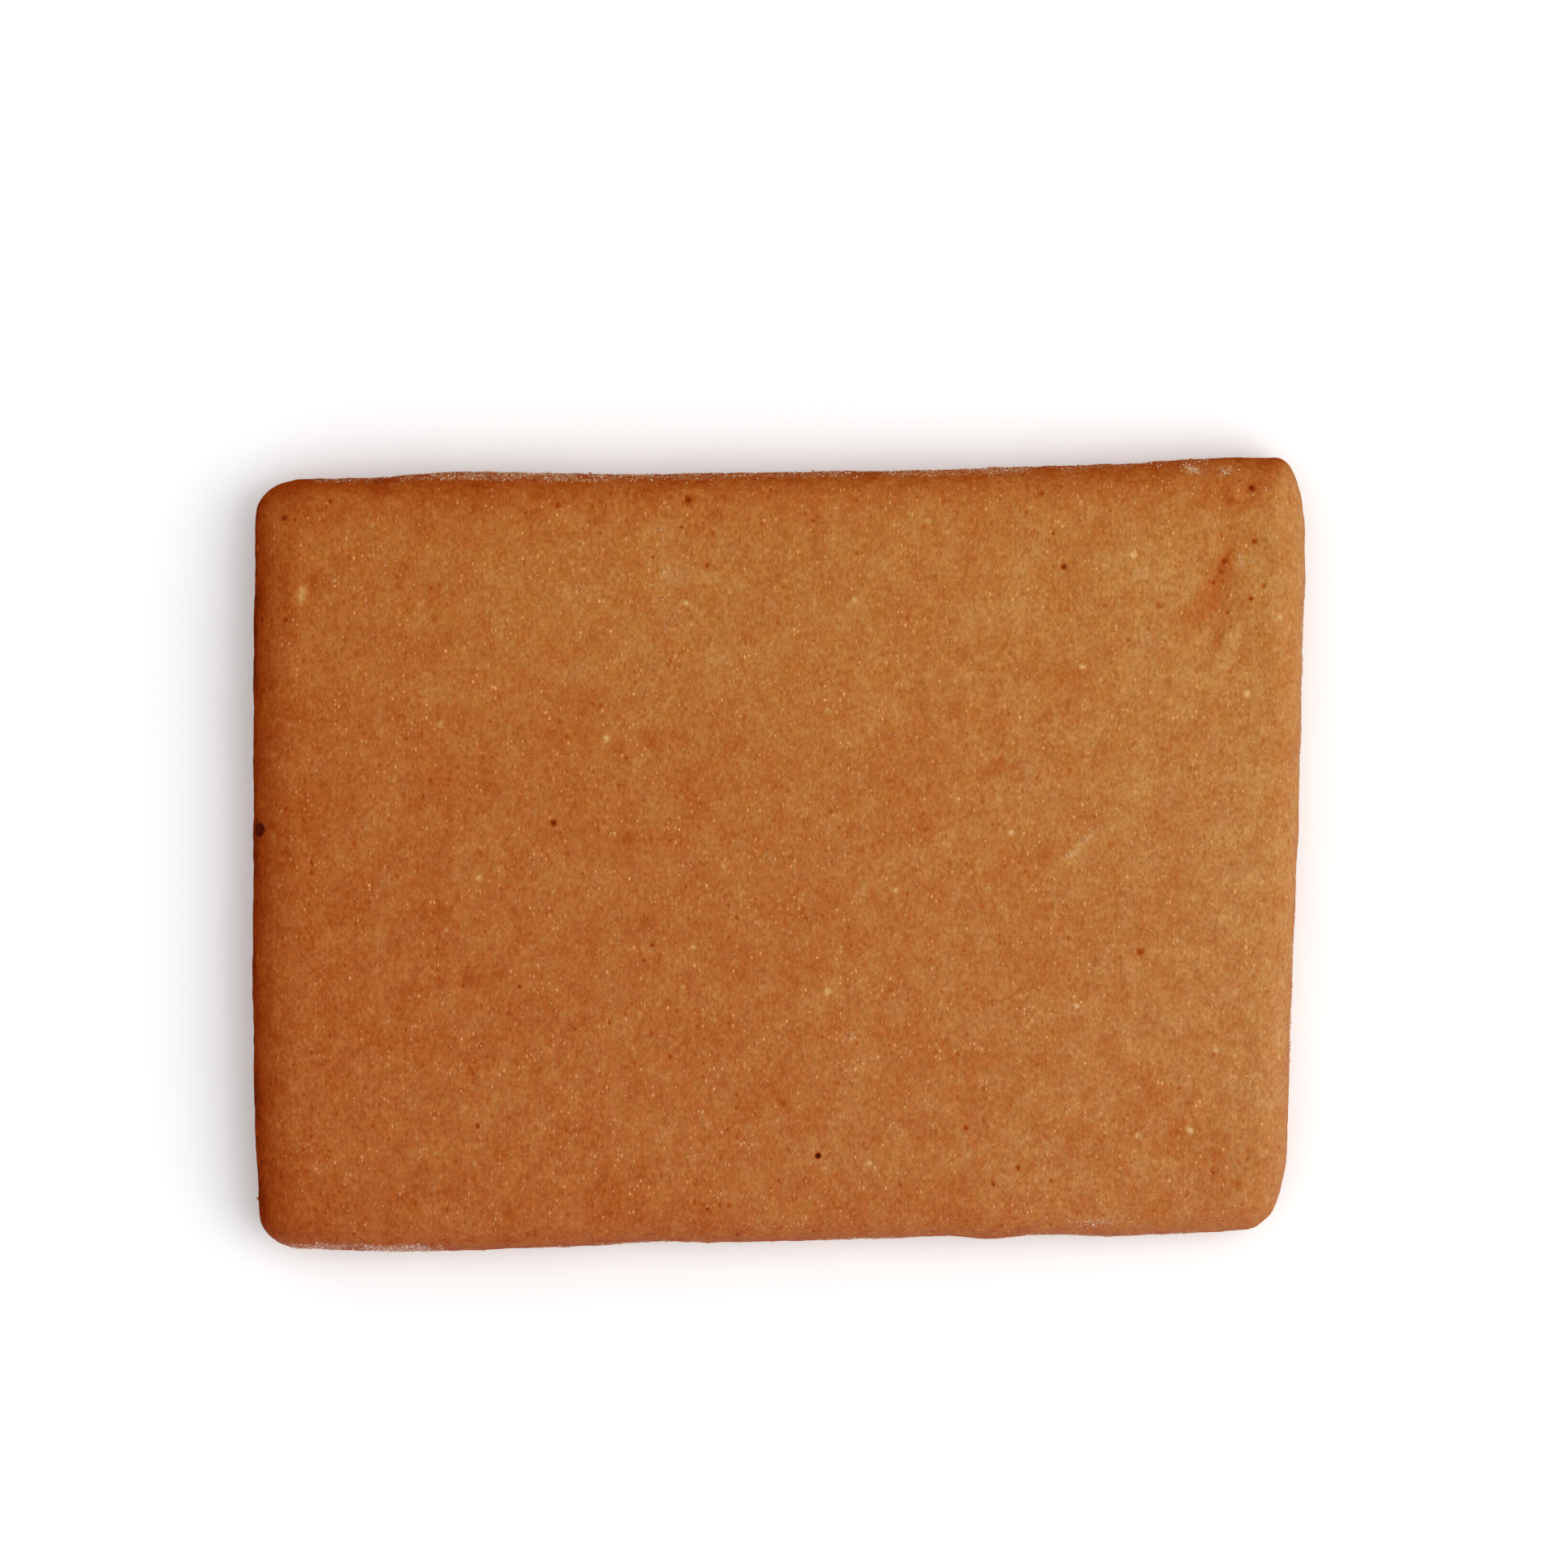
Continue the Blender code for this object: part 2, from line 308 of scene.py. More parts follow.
# Flour lying on the top: place, amount, half length, half width and way.
FLOUR_PATCHES = (
    ((39.0, 36.3), 0.58, 1.3, 0.6, -14.0),
    ((42.1, 36.1), 0.56, 0.9, 0.6, 8.0),
    ((6.7, -17.2), 0.34, 1.5, 0.9, 30.0),
    ((28.4, -14.5), 0.26, 2.4, 0.8, 8.0),
    ((29.9, -34.6), 0.42, 2.8, 0.7, 4.0),
    ((27.6, 0.2), 0.42, 0.9, 0.4, 38.0),
    ((29.2, 1.7), 0.42, 1.4, 0.4, 38.0),
    ((43.6, 27.6), 0.30, 1.3, 0.8, 70.0),
    ((-10.0, 26.0), 0.20, 8.0, 2.0, 88.0),
)
# Flour left on the side where it shows: the way it faces, middle, half length, width and amount.
FLOUR_RIMS = (
    ("north", -26.5, 10.5, 1.05, 0.48),
    ("north", -40.0, 5.0, 0.6, 0.34),
    ("north", -13.0, 9.0, 0.85, 0.39),
    ("north", 1.0, 9.0, 0.8, 0.36),
    ("north", 17.0, 10.0, 0.85, 0.39),
    ("north", 33.0, 8.0, 0.7, 0.28),
    ("south", -44.2, 3.8, 0.85, 0.48),
    ("south", -35.6, 3.8, 0.90, 0.54),
    ("south", -14.0, 7.0, 0.4, 0.36),
    ("south", 9.0, 5.0, 0.4, 0.34),
    ("south", 31.0, 9.0, 0.4, 0.36),
    ("east", 16.0, 9.0, 0.4, 0.36),
    ("east", -14.0, 7.0, 0.4, 0.34),
)
# Waves that make the flour's borders ragged: wavelength, height and seed.
RAGGED_WAVES = ((5.0, 0.6, 21), (2.2, 0.5, 22), (1.0, 0.35, 23))
# How much they shift a rim's ends, its inner border and its foot, and change its amount. The
# amount is changed only below the given height.
RAGGED_ENDS = 0.22
RAGGED_BORDER = 0.12
RAGGED_FOOT = 0.9
RAGGED_AMOUNT = 0.15
RAGGED_BELOW = 7.5
# A rim's flour fades between these shares of its half length and of its width.
RIM_ENDS = (0.55, 1.3)
RIM_BORDER = (0.4, 1.25)
# A rim also has a thin line of flour, at these shares of its width: place, half width and amount.
LINE_PLACE = 0.85
LINE_WIDTH = 0.16
LINE_AMOUNT = 0.35
# Below the first height little flour holds, and from the second height on all of it.
HOLD_HEIGHTS = (0.8, 4.4)
HOLD_LEAST = 0.1
# A thin haze of flour on the lower side: the heights where it begins and is full, the sums of the
# ragged waves where it is none and full, its amount, and how much less of it the west side has.
HAZE_HEIGHTS = (5.5, 2.0)
HAZE_RAGGED = (-0.6, 1.6)
HAZE_AMOUNT = 0.3
HAZE_LESS_WEST = 0.8
# Flour all over the underside.
UNDER_FLOUR = 0.2


def bell(x, y, place, half_length, half_width, way):
    """A bell-shaped bump of height one, longer one way: e to minus the squared scaled distances."""
    cos, sin = np.cos(np.radians(way)), np.sin(np.radians(way))
    forward = ((x - place[0]) * cos + (y - place[1]) * sin) / half_length
    sideways = ((y - place[1]) * cos - (x - place[0]) * sin) / half_width
    return np.exp(-(forward**2) - sideways**2)


def smooth_step(value, low, high):
    """0 below low, 1 above high, and between them the cubic that leaves both ends level."""
    t = np.clip((value - low) / (high - low), 0.0, 1.0)
    return t * t * (3 - 2 * t)


def sine_noise(points, wavelength, seed, count=28):
    """A sum of sine waves that run in random directions, within half an octave of one wavelength.

    Its mean square is one. The same seed gives the same waves.
    """
    rng = np.random.default_rng(seed)
    ways = rng.normal(size=(count, 3))
    ways /= np.linalg.norm(ways, axis=1)[:, None]
    ways *= (2 * np.pi / wavelength) * 2 ** rng.uniform(-0.5, 0.5, (count, 1))
    phases = rng.uniform(0, 2 * np.pi, count)
    return np.sqrt(2 / count) * np.sin(points @ ways.T + phases).sum(axis=1)


def wave_sum(points, waves):
    """The noises of a list of wavelengths, heights and seeds, each times its height, added up."""
    return sum(height * sine_noise(points, wavelength, seed) for wavelength, height, seed in waves)


# The slab's form


def corner_curve(start, corner, end):
    """A quarter ellipse from start to end, bulging to the corner, as a cubic curve."""
    t = np.linspace(0.0, 1.0, 2 * CURVE_STEPS, endpoint=False)[:, None]
    first = start + (corner - start) * QUARTER
    second = end + (corner - end) * QUARTER
    near, far = (1 - t) ** 3 * start, t**3 * end
    return near + 3 * (1 - t) ** 2 * t * first + 3 * (1 - t) * t**2 * second + far


def rounded_figure(corners, before, after):
    """The closed line of a four-sided figure with its corners rounded, and each corner's middle."""
    t = np.linspace(0.0, 1.0, SIDE_STEPS, endpoint=False)[:, None]
    unit = [corners[(i + 1) % 4] - corners[i] for i in range(4)]
    unit = [step / np.linalg.norm(step) for step in unit]
    line = []
    for i in range(4):
        start = corners[i] - unit[i - 1] * before[i]
        end = corners[i] + unit[i] * after[i]
        following = corners[(i + 1) % 4] - unit[i] * before[(i + 1) % 4]
        line += [corner_curve(start, corners[i], end), end + (following - end) * t]
    middles = [i * (2 * CURVE_STEPS + SIDE_STEPS) + CURVE_STEPS for i in range(4)]
    return np.concatenate(line), middles


def distance_along(line):
    """How far along the closed line each of its points lies, and at the end its whole length."""
    steps = np.linalg.norm(np.roll(line, -1, axis=0) - line, axis=1)
    return np.concatenate([[0.0], np.cumsum(steps)])


def outward_of(line):
    """The unit vector at each point of a closed counter-clockwise line that points away from it."""
    tangent = np.roll(line, -1, axis=0) - np.roll(line, 1, axis=0)
    tangent /= np.linalg.norm(tangent, axis=1)[:, None]
    return np.stack([tangent[:, 1], -tangent[:, 0]], axis=1)


def swollen(line):
    """The line moved out by the swellings, each a bell curve of the distance along the line."""
    along = distance_along(line)
    whole = along[-1]
    rise = np.zeros(len(line))
    for place, height, half_width in SWELLINGS:
        apart = (along[:-1] - place + whole / 2) % whole - whole / 2
        rise += height * np.exp(-((apart / half_width) ** 2))
    return line + outward_of(line) * rise[:, None]


def moved_in(corners, depths):
    """The figure whose sides lie the given depths inside those of the given figure."""
    ways = np.roll(corners, -1, axis=0) - corners
    ways /= np.linalg.norm(ways, axis=1)[:, None]
    inward = np.stack([-ways[:, 1], ways[:, 0]], axis=1)
    held = (corners * inward).sum(axis=1) + np.array(depths)
    pairs = [[i - 1, i] for i in range(4)]
    return np.array([np.linalg.solve(inward[pair], held[pair]) for pair in pairs])


def spread_round(line, middles, counts):
    """Points on the line, counts[i] of them evenly from one corner's middle to the next one's."""
    along = distance_along(line)
    closed = np.concatenate([line, line[:1]])
    marks = [along[m] for m in middles] + [along[middles[0]] + along[-1]]
    places = np.concatenate([
        np.linspace(marks[i], marks[i + 1], counts[i], endpoint=False) for i in range(4)
    ]) % along[-1]
    return np.stack([np.interp(places, along, closed[:, k]) for k in range(2)], axis=1)


def rims(counts):
    """The slab's widest line and the line where its shoulder meets the top, with matching points."""
    corners = np.array(CORNERS)
    before = np.array(ROUND_BEFORE)
    after = np.array(ROUND_AFTER)
    line, middles = rounded_figure(corners, before, after)
    line = swollen(line)
    centre = (line.max(axis=0) + line.min(axis=0)) / 2
    outer = spread_round(line, middles, counts) - centre
    inner_line, middles = rounded_figure(
        moved_in(corners, SHOULDER), before * INNER_ROUNDING, after * INNER_ROUNDING
    )
    return outer, spread_round(inner_line, middles, counts) - centre


def patch(rim, counts):
    """A grid of points inside the rim, as rows of x and y.

    It is what runs from side to side, both ways, less what the four corners count twice.
    """
    v, u = np.mgrid[0 : 1 : (counts[1] + 1) * 1j, 0 : 1 : (counts[0] + 1) * 1j][..., None]
    first, second, third = np.cumsum(counts)[:3]
    closed = np.concatenate([rim, rim[:1]])
    south = closed[: first + 1][None]
    east = closed[first : second + 1][:, None]
    north = closed[second : third + 1][::-1][None]
    west = closed[third:][::-1][:, None]
    a, b, c, d = south[:, :1], south[:, -1:], north[:, -1:], north[:, :1]
    across = (1 - v) * south + v * north + (1 - u) * west + u * east
    return across - ((1 - u) * (1 - v) * a + u * (1 - v) * b + u * v * c + (1 - u) * v * d)


def top_height(x, y):
    """Height of the top: a flat plate with a low dome, long sine waves and bell-shaped dents."""
    half_x, half_y = np.abs(np.array(CORNERS)).max(axis=0)
    z = THICKNESS + DOME * (1 - (x / half_x) ** 2) * (1 - (y / half_y) ** 2)
    for way, wavelength, height, phase in WAVES:
        forward = x * np.cos(np.radians(way)) + y * np.sin(np.radians(way))
        z = z + height * np.sin(2 * np.pi * forward / wavelength + phase)
    for place, depth, half_length, half_width, way in DENTS:
        z = z - depth * bell(x, y, place, half_length, half_width, way)
    return z


def side_rows(outer, inner):
    """The side's rims from the top down: quarter superellipses above and below the widest line."""
    rows = []
    for turn in np.linspace(0.0, np.pi / 2, SHOULDER_ROWS + 1)[1:]:
        out = np.sin(turn) ** (2 / SHOULDER_POWER)
        up = max(np.cos(turn), 0.0) ** (2 / SHOULDER_POWER)
        place = inner + (outer - inner) * out
        height = WIDEST_AT + (top_height(place[:, 0], place[:, 1]) - WIDEST_AT) * up
        rows.append(np.column_stack([place, height]))
    for turn in np.linspace(0.0, np.pi / 2, FOOT_ROWS + 1)[1:]:
        out = max(np.cos(turn), 0.0) ** (2 / FOOT_POWER)
        down = np.sin(turn) ** (2 / FOOT_POWER)
        place = outer + (inner - outer) * FOOT_SHARE * (1 - out)
        rows.append(np.column_stack([place, np.full(len(place), WIDEST_AT * (1 - down))]))
    return rows


# Meshes from arrays


def grid_numbers(counts, first):
    """The point numbers of a grid's rows, counted from first."""
    return first + np.arange((counts[0] + 1) * (counts[1] + 1)).reshape(counts[1] + 1, counts[0] + 1)


def rim_of(numbers):
    """The point numbers round a grid, counter-clockwise from its corner at -X -Y."""
    return np.concatenate([numbers[0, :-1], numbers[:-1, -1], numbers[-1, :0:-1], numbers[:0:-1, 0]])


def grid_faces(numbers):
    """A grid's cells as faces that look up."""
    corners = (numbers[:-1, :-1], numbers[:-1, 1:], numbers[1:, 1:], numbers[1:, :-1])
    return np.stack(corners, axis=-1).reshape(-1, 4)


def make_mesh(name, points, quads, triangles):
    """A mesh from arrays of points in millimetres and of four-sided and three-sided faces."""
    corners = np.concatenate([quads.ravel(), triangles.ravel()]).astype(np.int32)
    sizes = np.concatenate([np.full(len(quads), 4), np.full(len(triangles), 3)])
    mesh = bpy.data.meshes.new(name)
    mesh.vertices.add(len(points))
    mesh.vertices.foreach_set("co", (points * MM).astype(np.float32).ravel())
    mesh.loops.add(len(corners))
    mesh.loops.foreach_set("vertex_index", corners)
    mesh.polygons.add(len(sizes))
    mesh.polygons.foreach_set("loop_start", (np.cumsum(sizes) - sizes).astype(np.int32))
    mesh.update(calc_edges=True)
    mesh.shade_smooth()
    return mesh


def points_of(mesh):
    """The mesh's points in millimetres."""
    found = np.empty(len(mesh.vertices) * 3, np.float32)
    mesh.vertices.foreach_get("co", found)
    return found.reshape(-1, 3).astype(float) / MM


def normals_of(mesh):
    """The way that the mesh faces at each of its points."""
    found = np.empty(len(mesh.vertices) * 3, np.float32)
    mesh.vertex_normals.foreach_get("vector", found)
    return found.reshape(-1, 3).astype(float)


def set_value(mesh, name, values):
    """Keeps one number for each point of the mesh under a name that its material reads."""
    mesh.attributes.new(name, "FLOAT", "POINT").data.foreach_set("value", values.astype(np.float32))


def add_piece(mesh, material):
    """Puts a mesh into the scene as a piece of the slab's body."""
    piece = bpy.data.objects.new(mesh.name, mesh)
    bpy.context.scene.collection.objects.link(piece)
    mesh.materials.append(material)
    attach(piece, BODY)
    return piece


# The slab


def plain_slab():
    """The slab before its fine relief, and its widest line.

    A grid lies over the top, rows of points run round the side, and a grid with half as many cells
    closes the underside. Between the last row and that grid, three triangles meet each of its edges.
    """
    counts = (CELLS_ALONG, CELLS_ACROSS, CELLS_ALONG, CELLS_ACROSS)
    half_counts = tuple(count // 2 for count in counts)
    outer, inner = rims(counts)
    top = patch(inner, counts).reshape(-1, 2)
    rows = side_rows(outer, inner)
    foot = rows[-1][:, :2]
    inset = foot * (1 - UNDER_INSET / np.linalg.norm(foot, axis=1))[:, None]
    under = patch(inset[::2], half_counts).reshape(-1, 2)
    points = np.concatenate([
        np.column_stack([top, top_height(top[:, 0], top[:, 1])]),
        *rows,
        np.column_stack([under, np.zeros(len(under))]),
    ])
    top_numbers = grid_numbers(counts, 0)
    round_count = len(outer)
    row_numbers = len(top) + np.arange(len(rows) * round_count).reshape(len(rows), round_count)
    rings = np.concatenate([rim_of(top_numbers)[None], row_numbers])
    onward = np.roll(rings, -1, axis=1)
    side = np.stack([rings[:-1], rings[1:], onward[1:], onward[:-1]], axis=-1).reshape(-1, 4)
    under_numbers = grid_numbers(half_counts, len(top) + row_numbers.size)
    near, near_on = rim_of(under_numbers), np.roll(rim_of(under_numbers), -1)
    start, middle, end = rings[-1][::2], rings[-1][1::2], np.roll(rings[-1][::2], -1)
    meeting = np.concatenate([
        np.stack([start, near, middle], axis=1),
        np.stack([middle, near, near_on], axis=1),
        np.stack([middle, near_on, end], axis=1),
    ])
    quads = np.concatenate([grid_faces(top_numbers), side, grid_faces(under_numbers)[:, ::-1]])
    return make_mesh("lebkuchen_crust", points, quads, meeting), outer


def refine_holes(mesh):
    """Cuts the cells round each hole and scar into sixteen, so that they get their round form."""
    middles = np.empty(len(mesh.polygons) * 3, np.float32)
    mesh.polygons.foreach_get("center", middles)
    middles = middles.reshape(-1, 3) / MM
    near = np.zeros(len(middles), bool)
    for place, radius, _ in BURNT_HOLES + PALE_SCARS:
        apart = np.hypot(middles[:, 0] - place[0], middles[:, 1] - place[1])
        near |= (apart < CUT_RADII * radius + CUT_MARGIN) & (middles[:, 2] > WIDEST_AT)
    bm = bmesh.new()
    bm.from_mesh(mesh)
    bm.faces.ensure_lookup_table()
    edges = {edge for i in np.flatnonzero(near) for edge in bm.faces[i].edges}
    bmesh.ops.subdivide_edges(bm, edges=list(edges), cuts=3, use_grid_fill=True)
    bmesh.ops.triangulate(bm, faces=[face for face in bm.faces if len(face.verts) > 4])
    bm.to_mesh(mesh)
    bm.free()
    mesh.shade_smooth()


def rim_facts(x, y, outer):
    """How far inside the widest line each point lies, and how much it faces each way there.

    Facing is the square of the outward way's part to that side, so that the four add up to one.
    """
    outward = outward_of(outer)
    inset = np.empty(len(x))
    nearest = np.empty(len(x), int)
    for part in np.array_split(np.arange(len(x)), LOTS):
        apart = np.hypot(x[part, None] - outer[:, 0], y[part, None] - outer[:, 1])
        nearest[part] = apart.argmin(axis=1)
        inset[part] = apart.min(axis=1)
    way = outward[nearest]
    faces = {
        "west": np.clip(-way[:, 0], 0, 1) ** 2,
        "east": np.clip(way[:, 0], 0, 1) ** 2,
        "north": np.clip(way[:, 1], 0, 1) ** 2,
        "south": np.clip(-way[:, 1], 0, 1) ** 2,
    }
    return inset, faces


def underside(normals):
    """1 where the slab faces down, 0 where it faces up or sideways, and a smooth way between."""
    return smooth_step(-normals[:, 2], *UNDER_FACING)


def hole_shares(x, y, z, holes):
    """For each hole, its radius, its strength and how far into it each point lies, 0 to 1.

    That is e to minus the cube of the distance in radii. Heights count from the crust's nearest
    point to the hole's place, and what is below the widest line counts as far off.
    """
    for place, radius, strength in holes:
        aside = np.hypot(x - place[0], y - place[1]) + FAR_OFF * (z < WIDEST_AT)
        apart = np.hypot(aside, HOLE_UPRIGHT * (z - z[aside.argmin()])) / radius
        yield radius, strength, np.exp(-(apart**3))


def crust_relief(points, normals):
    """How far the crust rises over the plain form: fine waves, more on the side, less the holes."""
    x, y, z = points.T
    upright = 1 - np.abs(normals[:, 2])
    rise = wave_sum(points * CRUST_STRETCH, CRUST_WAVES)
    rise = rise + upright * wave_sum(points, SIDE_WAVES)
    rise = rise - SIDE_DRAWN_IN * upright
    for radius, _, share in hole_shares(x, y, z, BURNT_HOLES):
        rise = rise - HOLE_DEPTH * radius * share
    return rise


def air_holes(x, y):
    """Depth of the underside's small round air holes, left by steam caught on the baking sheet.

    Each is e to minus the fourth power of the distance in radii.
    """
    rng = np.random.default_rng(AIR_HOLE_SEED)
    field = np.array(AIR_HOLE_FIELD)
    depth = np.zeros(len(x))
    for _ in range(AIR_HOLES):
        place = rng.uniform(-field, field)
        radius = AIR_HOLE_LEAST + AIR_HOLE_SPREAD * rng.random() ** 2
        apart = np.hypot(x - place[0], y - place[1]) / radius
        depth = np.maximum(depth, HOLE_DEPTH * radius * np.exp(-(apart**4)))
    return depth


def crust_tone(points, normals, inset, faces):
    """Tone of the crust: brighter to the east and north, partly uneven baking and partly painted
    light; darker at the edges, partly browning and partly painted shade; with patches, some of them
    painted shade in the dents.
    """
    x, y, z = points.T
    tone = TONE_MIDDLE + TONE_EAST * x + TONE_NORTH * y
    # Browning and painted shade fade in from the sides; the east's negative entry paints light on its
    # rim.
    for way, strength, reach in EDGE_BROWNING_AND_SHADE:
        tone = tone - strength * faces[way] * np.exp(-inset / reach)
    # Patches of tone, among them painted shade and light along the dents.
    for place, change, half_length, half_width, way in PATCHES:
        tone = tone + change * bell(x, y, place, half_length, half_width, way)
    # Low on the side the tone darkens: a browner crust and painted shade near the floor.
    low = smooth_step(z, *SIDE_HEIGHTS)
    tone = np.maximum(tone + low * SIDE_SHARE * (TONE_SIDE_AND_SHADE - tone), TONE_LOWEST)
    for _, dark, share in hole_shares(x, y, z, BURNT_HOLES):
        tone = tone - dark * share
    for _, paleness, share in hole_shares(x, y, z, PALE_SCARS):
        tone = tone + paleness * share
    return tone + underside(normals) * (TONE_UNDER - tone)


def crust_flour(points, normals, inset, faces):
    """How much flour lies on the crust, 0 to 1: patches, rims with a thin border, and a low haze."""
    x, y, z = points.T
    ragged = wave_sum(points, RAGGED_WAVES)
    flour = np.zeros(len(x))
    for place, amount, half_length, half_width, way in FLOUR_PATCHES:
        flour = flour + amount * bell(x, y, place, half_length, half_width, way) * (z > WIDEST_AT)
    for way, middle, half_length, width, amount in FLOUR_RIMS:
        run = y if way == "east" else x
        share = np.abs(run - middle) / half_length
        along = 1 - smooth_step(share + RAGGED_ENDS * ragged, *RIM_ENDS)
        spread = 1 - smooth_step(inset / width + RAGGED_BORDER * ragged, *RIM_BORDER)
        line = np.exp(-(((inset / width - LINE_PLACE) / LINE_WIDTH) ** 2))
        flour = np.maximum(flour, amount * faces[way] * along * (spread + LINE_AMOUNT * line))
    held = smooth_step(z + RAGGED_FOOT * ragged, *HOLD_HEIGHTS)
    varied = 1 + RAGGED_AMOUNT * ragged * (z < RAGGED_BELOW)
    flour = flour * (HOLD_LEAST + (1 - HOLD_LEAST) * held) * varied
    haze = smooth_step(z, *HAZE_HEIGHTS) * (1 - np.abs(normals[:, 2]))
    haze = haze * smooth_step(ragged, *HAZE_RAGGED) * (1 - HAZE_LESS_WEST * faces["west"])
    return np.clip(flour + HAZE_AMOUNT * haze + UNDER_FLOUR * underside(normals), 0, 1)


def crust_dust_and_shade_tint(points, normals, inset, faces):
    """How much fine dust and painted cool shade tint the south and east shoulders, 0 to 1: it fades
    inwards and down.
    """
    z = points[:, 2]
    level = (faces["south"] + faces["east"]) * np.exp(-inset / DUST_AND_SHADE_TINT_REACH)
    high = DUST_AND_SHADE_TINT_LOW + (1 - DUST_AND_SHADE_TINT_LOW) * smooth_step(z, *DUST_AND_SHADE_TINT_HEIGHTS)
    return level * high * (1 - underside(normals))


def build_slab(material):
    """The slab with its relief laid along its normals, and its tone, flour and tint of dust and
    painted shade as values.
    """
    mesh, outer = plain_slab()
    refine_holes(mesh)
    points, normals = points_of(mesh), normals_of(mesh)
    x, y, z = points.T
    inset, faces = rim_facts(x, y, outer)
    under = underside(normals)
    rise = crust_relief(points, normals) * (1 - under)
    formed = points + normals * rise[:, None]
    formed[:, 2] = np.maximum(formed[:, 2], 0.0)
    formed[:, 2] += under * air_holes(x, y) * (z < FLOOR_GAP)
    mesh.vertices.foreach_set("co", (formed * MM).astype(np.float32).ravel())
    set_value(mesh, "tone", crust_tone(points, normals, inset, faces))
    set_value(mesh, "flour", crust_flour(points, normals, inset, faces))
    set_value(mesh, "bloom", crust_dust_and_shade_tint(points, normals, inset, faces))
    mesh.update()
    piece = add_piece(mesh, material)
    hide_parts(NODE)
    return mesh


# Loose grains

GRAIN_SEED = 5
# How much of a grain's width is sunk into the crust.
GRAIN_SUNK = 0.25
# A grain's three widths lie between these shares of its size.
GRAIN_WIDTHS = (0.65, 1.25)


def pebble(fineness):
    """The points and triangles of a small faceted ball."""
    bm = bmesh.new()
    bmesh.ops.create_icosphere(bm, subdivisions=fineness, radius=1.0)
    points = np.array([vert.co for vert in bm.verts])
    triangles = np.array([[vert.index for vert in face.verts] for face in bm.faces])
    bm.free()
    return points, triangles


def strewn(mesh, weights, count, rng):
    """Places and normals on the mesh, drawn where its weights per point are high."""
    mesh.calc_loop_triangles()
    corners = np.empty(len(mesh.loop_triangles) * 3, np.int32)
    mesh.loop_triangles.foreach_get("vertices", corners)
    corners = corners.reshape(-1, 3)
    points, normals = points_of(mesh), normals_of(mesh)
    a, b, c = (points[corners[:, k]] for k in range(3))
    area = np.linalg.norm(np.cross(b - a, c - a), axis=1) / 2
    chance = area * weights[corners].mean(axis=1)
    chosen = rng.choice(len(corners), count, p=chance / chance.sum())
    share = np.sort(rng.random((count, 2)), axis=1)
    share = np.column_stack([share[:, 0], share[:, 1] - share[:, 0], 1 - share[:, 1]])
    place = (points[corners[chosen]] * share[..., None]).sum(axis=1)
    facing = (normals[corners[chosen]] * share[..., None]).sum(axis=1)
    return place, facing / np.linalg.norm(facing, axis=1)[:, None]


def grains(name, places, facing, sizes, rng, fineness, roughness):
    """One mesh of many small uneven pebbles, each turned at random and sunk a little into the crust.

    A pebble's points are those of a ball with their distances drawn anew, its three widths differ,
    and a random turn is the orthogonal part of a matrix of normal numbers.
    """
    ball, triangles = pebble(fineness)
    count = len(places)
    shape = ball[None] * (1 + roughness * rng.uniform(-1, 1, (count, len(ball), 1)))
    shape = shape * rng.uniform(*GRAIN_WIDTHS, (count, 1, 3))
    turns = np.linalg.qr(rng.normal(size=(count, 3, 3)))[0]
    turns[:, :, 0] *= np.sign(np.linalg.det(turns))[:, None]
    shape = np.einsum("nij,npj->npi", turns, shape) * sizes[:, None, None]
    points = shape + (places + facing * (sizes * (1 - 2 * GRAIN_SUNK))[:, None])[:, None]
    faces = triangles[None] + (np.arange(count) * len(ball))[:, None, None]
    return make_mesh(name, points.reshape(-1, 3), np.empty((0, 4), int), faces.reshape(-1, 3))


def add_grains(
    name, slab, weights, rng, *, finish, count, least, spread, dark, pale, fineness=1, roughness=0.25
):
    """Strews grains of one kind on the slab. Their radii run from the least one up by the spread."""
    places, facing = strewn(slab, weights, count, rng)
    sizes = least + spread * rng.random(count) ** 2
    mesh = grains(name, places, facing, sizes, rng, fineness, roughness)
    add_piece(mesh, grain_finish(finish, dark, pale))


# Materials

# A fleck's radius is less than the given one by up to this share.
FLECK_LESS = 0.6


class Value:
    """A number or colour that varies over a surface. Arithmetic on a number adds Math nodes."""

    def __init__(self, finish, socket):
        self.finish = finish
        self.socket = socket

    def math(self, operation, *others):
        """What the operation makes of the given values."""
        sockets = {i: other for i, other in enumerate(others)}
        return self.finish.node("Math", {"operation": operation}, sockets)

    def __add__(self, other):
        return self.math("ADD", self, other)

    def __sub__(self, other):
        return self.math("SUBTRACT", self, other)

    def __rsub__(self, other):
        return self.math("SUBTRACT", other, self)

    def __mul__(self, other):
        return self.math("MULTIPLY", self, other)

    __radd__ = __add__
    __rmul__ = __mul__

    def step(self, low, high):
        """0 at low, 1 at high and beyond, with a smooth way between them."""
        sockets = {"Value": self, "From Min": low, "From Max": high}
        return self.finish.node("MapRange", {"interpolation_type": "SMOOTHSTEP"}, sockets)


